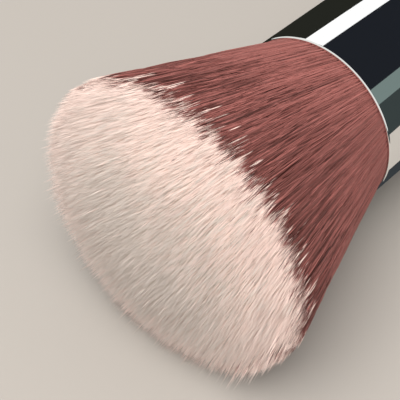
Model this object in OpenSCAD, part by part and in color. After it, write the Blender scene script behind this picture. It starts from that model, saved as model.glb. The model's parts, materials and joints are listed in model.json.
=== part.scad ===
// Double-ended makeup brush: a wide flat-topped head and a small domed head on one handle.
// It lies as it comes to rest, on the two soft heads, with its length along X and the floor at Z = 0.

/* [Large head] */
// Outside diameter of the large ferrule
large_barrel_d = 23; // [20:0.5:27]
// Diameter of the large tuft at its shoulder
large_tuft_d = 37.5; // [32:0.5:42]
// Length of the large tuft from the ferrule to its shoulder
large_tuft_len = 25.5; // [20:0.5:34]
// Rise of the tip face above the shoulder
large_dome_h = 5.6; // [3:0.2:8]
// Length of cream below the shoulder of the large tuft
large_cream_len = 1.2; // [1:0.2:3]
// Locks of filament round the large tuft
large_locks = 76; // [60:4:80]
// Length of the straight part of the large ferrule
large_barrel_len = 23; // [20:0.5:28]
// Length of the large ferrule's taper
large_taper_len = 8; // [5:0.5:12]
// Length of the large ferrule's collar
large_collar_len = 9; // [7:0.5:12]
// Length of the bundle's root inside the large ferrule
large_root_len = 14; // [8:0.5:16]

/* [Small head] */
// Outside diameter of the small ferrule
small_barrel_d = 13; // [11:0.5:16]
// Diameter of the small tuft at its widest
small_tuft_d = 16; // [14:0.5:20]
// Length of the small tuft from the ferrule to its shoulder
small_tuft_len = 13; // [9:0.5:18]
// Rise of the tip face above the shoulder
small_dome_h = 6; // [4:0.2:8]
// Length of cream below the shoulder of the small tuft
small_cream_len = 2; // [1:0.5:4]
// Locks of filament round the small tuft
small_locks = 48; // [36:4:56]
// Length of the straight part of the small ferrule
small_barrel_len = 15; // [12:0.5:20]
// Length of the small ferrule's taper
small_taper_len = 3; // [2:0.5:6]
// Length of the small ferrule's collar
small_collar_len = 8; // [7:0.5:11]
// Length of the bundle's root inside the small ferrule
small_root_len = 9; // [6:0.5:10]

/* [Handle] */
// Length of the handle that shows between the ferrules
grip_len = 64; // [50:1:90]
// Diameter of the handle at the large ferrule
grip_large_d = 15.5; // [13:0.5:17]
// Diameter of the handle at the small ferrule
grip_small_d = 11; // [9.5:0.5:12]
// Swell of the handle's middle beyond a straight taper
grip_swell = 0.5; // [0:0.1:1.2]
// Rounding of the handle's edges beside the ferrules
grip_edge_r = 0.8; // [0.4:0.1:1.2]

/* [Ferrules] */
// Thickness of the ferrule's metal
wall = 0.45; // [0.35:0.05:0.6]
// Height of the handle's shoulder above the collar
collar_step = 0.35; // [0.2:0.05:0.5]
// Depth of each rolled crimp
crimp_depth = 0.4; // [0.2:0.05:0.5]
// Width of each rolled crimp
crimp_w = 1.6; // [1:0.1:2]
// Distance from one crimp to the next
crimp_pitch = 2.8; // [2.2:0.1:3]
// Clearance between a ferrule and what is inside it
fit = 0.05; // [0.03:0.01:0.1]

/* [Filaments] */
// Depth of the grooves between the locks, as a share of the locks' spacing at the shoulder
groove_share = 0.45; // [0.1:0.05:0.7]
// Unevenness of the tips
tip_scatter = 0.45; // [0.1:0.05:0.6]
// Depth of the flat spot that each tuft presses on the floor
flat_depth = 0.65; // [0.3:0.05:0.9]

/* [Hidden] */

// Steps in a curved stretch of a turned profile
curve_steps = 16;
// Steps in a rounded edge
edge_steps = 6;
// Steps round a ferrule's lip
lip_steps = 8;
// Steps across one crimp
crimp_steps = 8;
// Rings of the tip face: radius as a share of the tuft's, how many columns apart its points
// stand, and the seed of their strays. The columns halve towards the middle so that no facet
// is a sliver, and the outer rings share the strays of the locks that they end.
face_rings = [[0.985, 1, 3], [0.94, 1, 3], [0.87, 1, 4], [0.78, 2, 5], [0.66, 2, 6], [0.52, 4, 7],
              [0.38, 4, 8], [0.22, 8, 9]];
// Rings of the brown stretch of a tuft's side
brown_rings = 7;
// Seeds of the locks' strays: sideways, depth of the grooves, and ends of the locks and dyes
sideways_seed = 1;
groove_seed = 2;
end_seed = 3;
// Depth of the shallowest and of the deepest groove, against the groove's share
groove_least = 0.6;
groove_most = 2;
// How far the colour border strays to either side
border_stray = 0.8;
// Share of a column's width by which a lock strays sideways
lock_stray = 0.3;
// How far the two dyed lengths reach into each other on the tuft's axis
tone_overlap = 1;

// Distances run along the brush's own axis, with zero at the large ferrule's mouth and
// the large tip on the positive side
large_ferrule_len = large_barrel_len + large_taper_len + large_collar_len;
small_ferrule_len = small_barrel_len + small_taper_len + small_collar_len;
large_mouth_z = 0;
grip_large_z = large_mouth_z - large_ferrule_len;
grip_small_z = grip_large_z - grip_len;
small_mouth_z = grip_small_z - small_ferrule_len;

// Each head: mouth's place, way it points, ferrule's barrel and collar radii, lengths of
// barrel, taper, collar and root
large_head = [large_mouth_z, 1, large_barrel_d / 2, grip_large_d / 2 - collar_step,
              large_barrel_len, large_taper_len, large_collar_len, large_root_len];
small_head = [small_mouth_z, -1, small_barrel_d / 2, grip_small_d / 2 - collar_step,
              small_barrel_len, small_taper_len, small_collar_len, small_root_len];
function mouth_z(head) = head[0];
function way(head) = head[1];
function barrel_r(head) = head[2];
function collar_r(head) = head[3];
function barrel_end(head) = head[4];
function taper_end(head) = head[4] + head[5];
function collar_end(head) = head[4] + head[5] + head[6];
function root_end(head) = head[7];
function bore_r(head) = barrel_r(head) - wall - fit;

// A lock and a groove take a column each, and the tip face halves their number three times
function columns_for(locks) = 8 * round(locks / 4);

// Each tuft: head it belongs to, shoulder radius, side length, dome rise, cream length, columns, seed
large_bundle = [large_head, large_tuft_d / 2, large_tuft_len, large_dome_h, large_cream_len,
                columns_for(large_locks), 11];
small_bundle = [small_head, small_tuft_d / 2, small_tuft_len, small_dome_h, small_cream_len,
                columns_for(small_locks), 23];

// The brush lies on both shoulders, so its axis climbs towards the wide head
shoulder_span = large_tuft_len - (small_mouth_z - small_tuft_len);
shoulder_drop = (large_tuft_d - small_tuft_d) / 2;
tilt = atan2(shoulder_drop, shoulder_span);
axis_h = large_tuft_d / 2 * cos(tilt) - large_tuft_len * sin(tilt) - flat_depth;
function reach(r, rise) = norm([rise * cos(tilt), r * sin(tilt)]);
far_x = large_tuft_len * cos(tilt) + reach(large_tuft_d / 2, large_dome_h);
near_x = (small_mouth_z - small_tuft_len) * cos(tilt) - reach(small_tuft_d / 2, small_dome_h);
mid_x = (far_x + near_x) / 2;

// Distance from the axis to the floor, straight down, at a place along the axis
function floor_r(z) = (axis_h + z * sin(tilt)) / cos(tilt);

// A ferrule's outer radius at a distance from its mouth, with the rolled crimps in its collar
function crimp_at(head, k) = taper_end(head) + (collar_end(head) - taper_end(head)) / 2
    + (k == 0 ? -1 : 1) * crimp_pitch / 2;
function crimp_dip(head, d, k) = abs(d - crimp_at(head, k)) < crimp_w / 2
    ? crimp_depth * (1 + cos(360 * (d - crimp_at(head, k)) / crimp_w)) / 2 : 0;
function ferrule_r(head, d) =
    d <= barrel_end(head) ? barrel_r(head)
    : d <= taper_end(head) ? collar_r(head) + (barrel_r(head) - collar_r(head))
        * (1 + cos(180 * (d - barrel_end(head)) / (taper_end(head) - barrel_end(head)))) / 2
    : collar_r(head) - crimp_dip(head, d, 0) - crimp_dip(head, d, 1);

// Distances from the mouth at which the taper and the crimps need a point
function taper_stops(head) = [for (k = [0 : curve_steps])
    barrel_end(head) + (taper_end(head) - barrel_end(head)) * k / curve_steps];
function crimp_stops(head) = [for (c = [0, 1]) for (k = [0 : crimp_steps])
    crimp_at(head, c) + crimp_w * (k / crimp_steps - 0.5)];
function collar_stops(head) = concat(crimp_stops(head), [collar_end(head)]);

function reversed(list) = [for (k = [len(list) - 1 : -1 : 0]) list[k]];

// Turns a half profile, given as radius and distance behind the mouth, about the brush's axis
module turned(head)
    translate([0, 0, mouth_z(head)])
        mirror([0, 0, way(head) < 0 ? 1 : 0])
            rotate_extrude()
                children();

// Lays the upright brush down on the floor
module at_rest()
    translate([-mid_x, 0, axis_h])
        rotate([0, 90 - tilt, 0])
            children();

module ferrule(head) {
    stops = concat([wall / 2], taper_stops(head), collar_stops(head));
    outer = [for (d = stops) [ferrule_r(head, d), -d]];
    inner = [for (d = stops) [ferrule_r(head, d) - wall, -d]];
    lip = [for (k = [1 : lip_steps - 1]) let (a = 180 * k / lip_steps)
        [barrel_r(head) - wall / 2 * (1 + cos(a)), -wall / 2 * (1 - sin(a))]];
    at_rest() turned(head) polygon(concat(lip, outer, reversed(inner)));
}

module glue_plug(head) {
    stops = concat([root_end(head)], taper_stops(head));
    side = [for (d = stops) [ferrule_r(head, d) - wall - fit, -d]];
    at_rest() turned(head) polygon(concat([[0, -root_end(head)]], side, [[0, -taper_end(head)]]));
}

// The handle's tenon fills the collar and follows its crimps
function tenon(head) = [for (d = concat([taper_end(head)], collar_stops(head)))
    [ferrule_r(head, d) - wall - fit, mouth_z(head) - way(head) * d]];
function grip_share(z) = (grip_large_z - z) / grip_len;
function grip_r(z) = (grip_large_d + (grip_small_d - grip_large_d) * grip_share(z)) / 2
    + grip_swell * sin(180 * grip_share(z));

// A rounded edge of the grip, from the flat shoulder to the side
function grip_edge(end_z, inward) = [for (k = [0 : edge_steps])
    let (a = 90 * k / edge_steps)
    [grip_r(end_z + inward * grip_edge_r) - grip_edge_r * (1 - sin(a)),
     end_z + inward * grip_edge_r * (1 - cos(a))]];
grip_side = [for (k = [1 : curve_steps - 1])
    let (z = grip_large_z - grip_edge_r - (grip_len - 2 * grip_edge_r) * k / curve_steps)
    [grip_r(z), z]];

module handle()
    color("#1b1b1f") at_rest() rotate_extrude() polygon(concat(
        [[0, mouth_z(large_head) - taper_end(large_head)]],
        tenon(large_head),
        grip_edge(grip_large_z, -1),
        grip_side,
        reversed(grip_edge(grip_small_z, 1)),
        reversed(tenon(small_head)),
        [[0, mouth_z(small_head) + taper_end(small_head)]]));

// A tuft is a stack of rings of columns. Every second column is the groove between two locks.
function head_of(tuft) = tuft[0];
function shoulder_r(tuft) = tuft[1];
function side_len(tuft) = tuft[2];
function dome_rise(tuft) = tuft[3];
function border_s(tuft) = tuft[2] - tuft[4];
function columns(tuft) = tuft[5];
function noise(tuft, seed) = rands(-1, 1, columns(tuft), tuft[6] + seed);

// Radius of the bundle's side at a distance in front of the mouth
function side_r(tuft, s) = bore_r(head_of(tuft))
    + (shoulder_r(tuft) - bore_r(head_of(tuft))) * max(0, s) / side_len(tuft);

// One point of a tuft, pressed flat where it would reach through the floor
function tuft_point(tuft, r, s, turn) = let (z = mouth_z(head_of(tuft)) + way(head_of(tuft)) * s)
    [min(r * cos(turn), floor_r(z)), way(head_of(tuft)) * r * sin(turn), z];

// A ring at radius r and distance s; stray moves its points along the brush, each by its own amount
function tuft_ring(tuft, r, s, keep, stray, seed) = let (
        n = columns(tuft),
        open = max(0, min(1, s / side_len(tuft))),
        spacing = 2 * PI * shoulder_r(tuft) / n,
        inset = groove_share * spacing * open * pow(r / shoulder_r(tuft), 2),
        across = noise(tuft, sideways_seed), deep = noise(tuft, groove_seed), along = noise(tuft, seed))
    [for (i = [0 : keep : n - 1])
        tuft_point(tuft, r - (i % 2 == 1 ? inset * groove_depth(deep[i]) : 0),
            s + stray * along[i], 360 / n * (i + lock_stray * across[i] * open))];
function groove_depth(chance) = groove_least + (groove_most - groove_least) * (1 + chance) / 2;

// The rings of the brown length, of the cream length, and of the tip face
function brown_part(tuft) = concat(
    [tuft_ring(tuft, side_r(tuft, 0), -root_end(head_of(tuft)), 1, 0, end_seed)],
    [for (k = [0 : brown_rings]) let (s = border_s(tuft) * k / brown_rings)
        tuft_ring(tuft, side_r(tuft, s), s, 1, k == brown_rings ? border_stray : 0, end_seed)]);
function cream_part(tuft) = concat(
    [tuft_ring(tuft, side_r(tuft, border_s(tuft)), border_s(tuft), 1, border_stray, end_seed),
     tuft_ring(tuft, shoulder_r(tuft), side_len(tuft), 1, tip_scatter, end_seed)],
    [for (ring = face_rings)
        tuft_ring(tuft, shoulder_r(tuft) * ring[0],
            side_len(tuft) + dome_rise(tuft) * sqrt(1 - ring[0] * ring[0]),
            ring[1], tip_scatter, ring[2])]);

// Joins one ring to the next, with as many points or with half as many
function band(a, b, from, to) = a == b
    ? [for (i = [0 : a - 1]) let (j = (i + 1) % a)
        each [[from + i, to + i, to + j], [from + i, to + j, from + j]]]
    : [for (i = [0 : b - 1]) let (j = (i + 1) % b, p = from + 2 * i, q = from + 2 * i + 1, r = from + 2 * j)
        each [[p, to + i, q], [q, to + i, to + j], [q, to + j, r]]];
function starts(rings, k = 0, at = 0) =
    k == len(rings) ? [at] : concat([at], starts(rings, k + 1, at + len(rings[k])));

// A closed solid through a stack of rings, with a point on the axis at each end
module stack(rings, first, last) {
    at = starts(rings);
    low = at[len(rings)];
    top_ring = at[len(rings) - 1];
    top_n = len(rings[len(rings) - 1]);
    polyhedron(
        points = concat([for (ring = rings) each ring], [first, last]),
        faces = concat(
            [for (k = [0 : len(rings) - 2]) each band(len(rings[k]), len(rings[k + 1]), at[k], at[k + 1])],
            [for (i = [0 : len(rings[0]) - 1]) [low, i, (i + 1) % len(rings[0])]],
            [for (i = [0 : top_n - 1]) [low + 1, top_ring + (i + 1) % top_n, top_ring + i]]));
}

// The bundle is one glued piece; its filaments are dyed brown below and cream at the tips
module tuft(tuft) {
    color("#9a6059") at_rest() stack(brown_part(tuft),
        tuft_point(tuft, 0, -root_end(head_of(tuft)), 0),
        tuft_point(tuft, 0, border_s(tuft) + tone_overlap, 0));
    color("#f3ddcf") at_rest() stack(cream_part(tuft),
        tuft_point(tuft, 0, border_s(tuft) - tone_overlap, 0),
        tuft_point(tuft, 0, side_len(tuft) + dome_rise(tuft), 0));
}

module large_ferrule() color("silver") ferrule(large_head);
module small_ferrule() color("silver") ferrule(small_head);
module large_glue_plug() color("#c9b98a") glue_plug(large_head);
module small_glue_plug() color("#c9b98a") glue_plug(small_head);
module large_tuft() tuft(large_bundle);
module small_tuft() tuft(small_bundle);

handle();
large_ferrule();
small_ferrule();
large_glue_plug();
small_glue_plug();
large_tuft();
small_tuft();
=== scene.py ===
"""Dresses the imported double-ended makeup brush: filament heads, bright ferrules and a lacquered handle.

Every length is in metres. The brush's own axis runs from the small tip to the large one, with zero at the
large ferrule's mouth, and all turned and bundled pieces are worked out about that axis and then laid down
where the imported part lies.
"""

from __future__ import annotations

import json
import logging
import math
import sys
from dataclasses import dataclass
from enum import Enum, IntEnum

import bpy
import numpy as np
from mathutils import Matrix


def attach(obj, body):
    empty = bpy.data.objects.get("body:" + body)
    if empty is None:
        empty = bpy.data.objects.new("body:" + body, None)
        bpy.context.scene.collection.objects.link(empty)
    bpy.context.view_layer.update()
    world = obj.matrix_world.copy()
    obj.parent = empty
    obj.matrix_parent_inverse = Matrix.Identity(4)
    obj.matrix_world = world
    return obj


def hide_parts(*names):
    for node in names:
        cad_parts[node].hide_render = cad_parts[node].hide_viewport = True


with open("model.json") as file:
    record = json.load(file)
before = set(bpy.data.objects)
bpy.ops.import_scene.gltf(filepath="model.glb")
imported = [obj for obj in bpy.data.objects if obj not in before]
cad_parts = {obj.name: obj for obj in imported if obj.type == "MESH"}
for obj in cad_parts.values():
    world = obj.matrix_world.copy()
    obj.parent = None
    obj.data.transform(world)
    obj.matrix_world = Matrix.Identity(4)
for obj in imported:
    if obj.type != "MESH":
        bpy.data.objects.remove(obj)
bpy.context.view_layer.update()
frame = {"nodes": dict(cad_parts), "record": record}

LOG = logging.getLogger("brush")
MM = 0.001
STRAND_MAP = "OFBake"
STRAND_COLUMNS = 96
CORNERS = 3
NOISE_KNOTS = 256
NEAR_AXIS = 0.01 * MM


class Slot(Enum):
    """The record's material slots."""

    FILAMENT = "filament"
    METAL = "ferrule_metal"
    LACQUER = "handle_lacquer"
    RESIN = "resin"


class Draw(IntEnum):
    """The random fields of a tuft. Each is seeded by the tuft's own seed and its number here."""

    LOCK = 1
    STRAND = 2
    PATCH = 3
    TIP_GROUP = 4
    STREAK = 5
    LUMP = 6
    BROAD = 21
    FINE = 22
    DRIFT = 23


@dataclass(frozen=True)
class Lie:
    """How the brush lies: its axis from the large mouth towards the large tip, and the ways down and across.

    Attributes:
        mouth: Centre of the large ferrule's mouth.
        along: Unit vector towards the large tip.
        down: Unit vector square to the axis, towards the floor.
        across: Unit vector square to both.
    """

    mouth: np.ndarray
    along: np.ndarray
    down: np.ndarray
    across: np.ndarray

    @classmethod
    def from_record(cls, record: dict, lip: float) -> "Lie":
        """Reads the axis from the mount on the large ferrule's straight barrel.

        Args:
            record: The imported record.
            lip: Length of the rounded lip in front of the barrel.

        Returns:
            The brush's lie.
        """
        mount = next(m for m in record["mounts"] if m["name"] == "large_barrel")
        along = -np.array(mount["axis"], float)
        along /= np.linalg.norm(along)
        half = mount["dims"]["length_mm"] * MM / 2
        mouth = np.array(mount["pos_m"], float) + along * (half + lip)
        down = np.array([along[2], 0.0, -along[0]])
        return cls(mouth, along, down, np.cross(along, down))

    def place(self, down: np.ndarray, across: np.ndarray, along: np.ndarray) -> np.ndarray:
        """Turns distances in the brush's own directions into places in the room.

        Args:
            down: Distance from the axis towards the floor.
            across: Distance from the axis sideways.
            along: Distance from the large mouth towards the large tip.

        Returns:
            Places, with a last axis of three.
        """
        return (self.mouth + down[..., None] * self.down + across[..., None] * self.across
                + along[..., None] * self.along)

    def floor_gap(self, along: np.ndarray) -> np.ndarray:
        """Distance from the axis to the floor, measured square to the axis, at places along it."""
        return (self.mouth[2] + along * self.along[2]) / -self.down[2]


def sleek(x: np.ndarray) -> np.ndarray:
    """Smooth step from 0 to 1: three times the square less twice the cube."""
    x = np.clip(x, 0.0, 1.0)
    return x * x * (3.0 - 2.0 * x)


def value_noise(x: np.ndarray, y: np.ndarray, cell: float, seed: int) -> np.ndarray:
    """Smooth random relief: random heights on a square grid, blended by smooth steps between its knots.

    Args:
        x: First coordinate.
        y: Second coordinate.
        cell: Width of one cell of the grid.
        seed: Which grid of heights.

    Returns:
        Values from -1 to 1.
    """
    heights = np.random.default_rng(seed).uniform(-1.0, 1.0, (NOISE_KNOTS, NOISE_KNOTS))
    gx, gy = x / cell, y / cell
    ix, iy = np.floor(gx).astype(int), np.floor(gy).astype(int)
    fx, fy = sleek(gx - ix), sleek(gy - iy)
    left, right = ix % NOISE_KNOTS, (ix + 1) % NOISE_KNOTS
    below, above = iy % NOISE_KNOTS, (iy + 1) % NOISE_KNOTS
    low = heights[left, below] * (1 - fx) + heights[right, below] * fx
    high = heights[left, above] * (1 - fx) + heights[right, above] * fx
    return low * (1 - fy) + high * fy


def mesh_object(name: str, points: np.ndarray, faces: np.ndarray, uv: np.ndarray | None = None,
                normals: np.ndarray | None = None) -> bpy.types.Object:
    """Makes one smooth-shaded object from whole arrays.

    Args:
        name: Name of the object and of its mesh.
        points: Vertex places, one row each.
        faces: Vertex numbers, one row for each face.
        uv: Place on the map for each corner of each face, if the piece has a map.
        normals: Way that each vertex faces for the light, if it isn't the mean of its faces' ways.

    Returns:
        The linked object, at the origin.
    """
    mesh = bpy.data.meshes.new(name)
    mesh.vertices.add(len(points))
    mesh.vertices.foreach_set("co", points.astype(np.float32).ravel())
    mesh.loops.add(faces.size)
    mesh.loops.foreach_set("vertex_index", faces.astype(np.int32).ravel())
    mesh.polygons.add(len(faces))
    mesh.polygons.foreach_set("loop_start", np.arange(0, faces.size, faces.shape[1], dtype=np.int32))
    mesh.update(calc_edges=True)
    mesh.polygons.foreach_set("use_smooth", np.ones(len(faces), bool))
    if uv is not None:
        layer = mesh.uv_layers.new(name=STRAND_MAP)
        layer.data.foreach_set("uv", uv.astype(np.float32).ravel())
    if normals is not None:
        mesh.normals_split_custom_set_from_vertices(normals.astype(np.float32))
    piece = bpy.data.objects.new(name, mesh)
    bpy.context.scene.collection.objects.link(piece)
    return piece


def turned(name: str, lie: Lie, profile: np.ndarray, sides: int) -> bpy.types.Object:
    """Turns a closed outline about the axis.

    A point of the surface is the outline's radius times the cosine and the sine of the turn, at the
    outline's place along the axis. The outline is a ring of points that runs anticlockwise when the axis
    points right and the radius up, and it keeps a hair's breadth off the axis.

    Args:
        name: Name of the object.
        lie: How the brush lies.
        profile: Radius and place along the axis, one row for each point of the outline.
        sides: Number of faces round the axis.

    Returns:
        The object.
    """
    count = len(profile)
    turn = np.arange(sides) * 2 * math.pi / sides
    radius = profile[:, 0][:, None]
    points = lie.place(radius * np.cos(turn), radius * np.sin(turn),
                       np.repeat(profile[:, 1][:, None], sides, 1)).reshape(-1, 3)
    i, j = np.meshgrid(np.arange(count), np.arange(sides), indexing="ij")
    after, beside = (i + 1) % count, (j + 1) % sides
    faces = np.stack([i * sides + j, after * sides + j, after * sides + beside, i * sides + beside],
                     -1).reshape(-1, 4)
    steps = np.diff(profile, axis=0, append=profile[:1])
    run = np.concatenate([[0.0], np.cumsum(np.linalg.norm(steps, axis=1))])
    run /= run[-1]
    u0, u1 = j / sides, (j + 1) / sides
    uv = np.stack([np.stack([u0, run[i]], -1), np.stack([u0, run[i + 1]], -1),
                   np.stack([u1, run[i + 1]], -1), np.stack([u1, run[i]], -1)], -2).reshape(-1, 2)
    return mesh_object(name, points, faces, uv)


def fibres(name: str, paths: np.ndarray, radii: np.ndarray, column: np.ndarray, run: np.ndarray,
           nap: np.ndarray, seed: int) -> bpy.types.Object:
    """Carries a three-sided profile along every path and closes it in a point.

    Each ring stands square to its path, its corners a third of a turn apart at the ring's radius, and the
    path's last place is the point itself. On the map, a filament's column gives its place across and the
    distance from its root gives its place up. The face that closes the root end is opened by a hair on the
    map, so that it isn't empty there.

    Args:
        name: Name of the object.
        paths: Places, by filament, station and direction.
        radii: Radius at each station but the last, by filament and station.
        column: Which column of the map each filament takes.
        run: Height on the map, by filament and station.
        nap: Way that the tuft's surface faces at each filament, as long as the share that it has in the
            filament's own shading. Light that soaks through fine filaments shades them as one soft surface.
        seed: Seeds the way each profile is turned.

    Returns:
        The object.
    """
    count, stations = paths.shape[:2]
    rings = stations - 1
    way = np.gradient(paths, axis=1)
    way /= np.linalg.norm(way, axis=2, keepdims=True)
    spin = np.random.default_rng(seed).normal(size=(count, 1, 3))
    side = np.cross(way, spin)
    side /= np.linalg.norm(side, axis=2, keepdims=True)
    other = np.cross(way, side)
    turn = np.arange(CORNERS) * 2 * math.pi / CORNERS
    ring = (side[:, :rings, None] * np.cos(turn)[:, None] + other[:, :rings, None] * np.sin(turn)[:, None])
    normals = np.concatenate([ring.reshape(count, rings * CORNERS, 3), way[:, -1:]], 1) + nap[:, None]
    normals /= np.linalg.norm(normals, axis=2, keepdims=True)
    ring = paths[:, :rings, None] + ring * radii[:, :rings, None, None]
    points = np.concatenate([ring.reshape(count, rings * CORNERS, 3), paths[:, -1:]], 1).reshape(-1, 3)

    corner, height, across = [], [], []
    for m in range(rings - 1):
        low, high = CORNERS * m, CORNERS * (m + 1)
        for j in range(CORNERS):
            k = (j + 1) % CORNERS
            corner += [[low + j, low + k, high + k], [low + j, high + k, high + j]]
            height += [[m, m, m + 1], [m, m + 1, m + 1]]
            across += [[j, j + 1, j + 1], [j, j + 1, j]]
    last, tip = CORNERS * (rings - 1), CORNERS * rings
    for j in range(CORNERS):
        corner.append([last + j, last + (j + 1) % CORNERS, tip])
        height.append([rings - 1, rings - 1, rings])
        across.append([j, j + 1, j + 0.5])
    corner.append([0, 2, 1])
    height.append([0, 0, 0])
    across.append([0, CORNERS, CORNERS / 2])
    faces = (np.array(corner)[None] + (np.arange(count) * (tip + 1))[:, None, None]).reshape(-1, 3)
    inset = 0.2
    u = (column[:, None, None] + inset + inset * np.array(across)[None]) / STRAND_COLUMNS
    v = run[:, np.array(height)]
    open_end = 0.002
    v[:, -1, 2] += open_end
    uv = np.stack([np.broadcast_to(u, v.shape), v], -1).reshape(-1, 2)
    return mesh_object(name, points, faces, uv, normals.reshape(-1, 3))


class Nodes:
    """A shorthand for wiring one shader tree."""

    def __init__(self, tree: bpy.types.NodeTree) -> None:
        """Empties the tree and keeps it."""
        self.tree = tree
        tree.nodes.clear()

    def add(self, kind: str, inputs: dict | None = None, **settings: object) -> bpy.types.Node:
        """Adds a node, sets its properties, and fills or links its inputs.

        Args:
            kind: The node's type.
            inputs: Values or sockets, by the input's name or number.
            **settings: The node's properties.

        Returns:
            The node.
        """
        node = self.tree.nodes.new(kind)
        for key, value in settings.items():
            setattr(node, key, value)
        for key, value in (inputs or {}).items():
            if isinstance(value, bpy.types.NodeSocket):
                self.tree.links.new(value, node.inputs[key])
            else:
                node.inputs[key].default_value = value
        return node

    def math(self, operation: str, *values: object, clamp: bool = False) -> bpy.types.NodeSocket:
        """Adds a Math node on the given values or sockets and returns its output."""
        node = self.add("ShaderNodeMath", dict(enumerate(values)), operation=operation, use_clamp=clamp)
        return node.outputs[0]

    def mix(self, factor: object, first: object, second: object, blend: str = "MIX") -> bpy.types.NodeSocket:
        """Adds a colour Mix node and returns its output."""
        return self.add("ShaderNodeMix", {0: factor, 6: first, 7: second}, data_type="RGBA",
                        blend_type=blend).outputs[2]

    def cloud(self, scale: float, detail: float) -> bpy.types.NodeSocket:
        """Adds soft noise on the piece's own places and returns its value."""
        place = self.add("ShaderNodeTexCoord").outputs["Object"]
        node = self.add("ShaderNodeTexNoise", {"Vector": place, "Scale": scale, "Detail": detail})
        return node.outputs["Fac"]

    def finish(self, inputs: dict) -> None:
        """Ends a material's tree with one shader that has the given inputs."""
        shader = self.add("ShaderNodeBsdfPrincipled", inputs)
        self.add("ShaderNodeOutputMaterial", {0: shader.outputs[0]})


def rgba(red: float, green: float, blue: float) -> tuple[float, float, float, float]:
    """Turns display values into the linear colour that shows as them, by the display's standard curve.

    Args:
        red: Red, from 0 to 255.
        green: Green, from 0 to 255.
        blue: Blue, from 0 to 255.

    Returns:
        The linear colour, fully opaque.
    """
    def linear(value: float) -> float:
        """Turns one channel."""
        share = value / 255
        return share / 12.92 if share <= 0.04045 else ((share + 0.055) / 1.055) ** 2.4
    return linear(red), linear(green), linear(blue), 1.0


def new_material(name: str) -> tuple[bpy.types.Material, Nodes]:
    """Makes an empty material.

    Args:
        name: Name of the material.

    Returns:
        The material and the hand that wires it.
    """
    material = bpy.data.materials.new(name)
    material.use_nodes = True
    return material, Nodes(material.node_tree)


def strand_group() -> bpy.types.NodeTree:
    """Builds the shared look of one dyed filament, read from the strand map.

    Across the map the colour border runs from much nearer the root to a little nearer the tip, slowly in
    the middle and fast at both ends. Up the map runs the distance from the root. Each column is darkened
    by its own amount and mixed towards the deep dye by another, more so near the border and in the brown:
    partly the dye's random tone, partly painted shade for the gaps and relief between filaments.

    Returns:
        The group: in go the colours and the border, out come a colour and a cream mask.
    """
    second_draw = 211.3
    stray_size, late_share = 2.0, 0.4
    # The darkening below is partly the dye's random tone, partly painted shade of the gaps between filaments.
    deep_by_height, deep_by_draw = 1.9, 1.45
    pale_curve = 1.8
    shade_by_height, shade_by_draw = 0.9, 2.5
    brown_shade, cream_shade = 0.86, 0.2
    group = bpy.data.node_groups.new("dyed_and_shaded_filament", "ShaderNodeTree")
    face = group.interface
    for name, kind in (("Root Dye", "NodeSocketColor"), ("Deep Dye And Gap Shade", "NodeSocketColor"),
                       ("Band Cream And Light", "NodeSocketColor"), ("Tip Cream And Shade", "NodeSocketColor"),
                       ("Border", "NodeSocketFloat"), ("Border Stray", "NodeSocketFloat"),
                       ("Border Width", "NodeSocketFloat"), ("Band Width", "NodeSocketFloat")):
        face.new_socket(name=name, in_out="INPUT", socket_type=kind)
    face.new_socket(name="Color", in_out="OUTPUT", socket_type="NodeSocketColor")
    face.new_socket(name="Cream", in_out="OUTPUT", socket_type="NodeSocketFloat")
    wire = Nodes(group)
    given = wire.add("NodeGroupInput").outputs
    place = wire.add("ShaderNodeUVMap", uv_map=STRAND_MAP).outputs[0]
    split = wire.add("ShaderNodeSeparateXYZ", {0: place}).outputs
    column = wire.math("FLOOR", wire.math("MULTIPLY", split[0], float(STRAND_COLUMNS)))
    kind = wire.add("ShaderNodeTexWhiteNoise", {"W": column}, noise_dimensions="1D").outputs["Value"]
    other = wire.add("ShaderNodeTexWhiteNoise", {"W": wire.math("ADD", column, second_draw)},
                     noise_dimensions="1D").outputs["Value"]
    off = wire.math("SUBTRACT", split[0], 0.5)
    stray = wire.math("MULTIPLY", wire.math("MULTIPLY", off, wire.math("ABSOLUTE", off)), stray_size)
    stray = wire.math("MINIMUM", stray, wire.math("MULTIPLY", stray, late_share))
    edge = wire.math("MULTIPLY_ADD", stray, given["Border Stray"], given["Border"])
    cream = wire.math("DIVIDE", wire.math("SUBTRACT", split[1], edge), given["Border Width"])
    cream = wire.math("ADD", cream, 0.5, clamp=True)
    near = wire.math("DIVIDE", split[1], given["Border"], clamp=True)
    # Mix towards the deep dye, growing towards the border: partly darker dyed filaments, partly painted shade
    # in the gaps.
    grown = wire.math("MULTIPLY", wire.math("POWER", near, deep_by_height),
                      wire.math("POWER", other, deep_by_draw))
    root = wire.mix(grown, given["Root Dye"], given["Deep Dye And Gap Shade"])
    paler = wire.math("DIVIDE", wire.math("SUBTRACT", split[1], edge), given["Band Width"], clamp=True)
    paler = wire.math("POWER", paler, pale_curve)
    dyed = wire.mix(cream, root, wire.mix(paler, given["Band Cream And Light"], given["Tip Cream And Shade"]))
    # Darkening of each column, growing towards the border and strongest in the brown: partly random tone,
    # partly painted shade of the relief between filaments.
    uneven = wire.math("MULTIPLY", wire.math("POWER", near, shade_by_height),
                       wire.math("MULTIPLY_ADD", cream, brown_shade - cream_shade, -brown_shade))
    shade = wire.math("MULTIPLY_ADD", uneven, wire.math("POWER", kind, shade_by_draw), 1.0)
    toned = wire.add("ShaderNodeVectorMath", {0: dyed, 3: shade}, operation="SCALE")
    wire.add("NodeGroupOutput", {"Color": toned.outputs[0], "Cream": cream})
    return group


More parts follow.
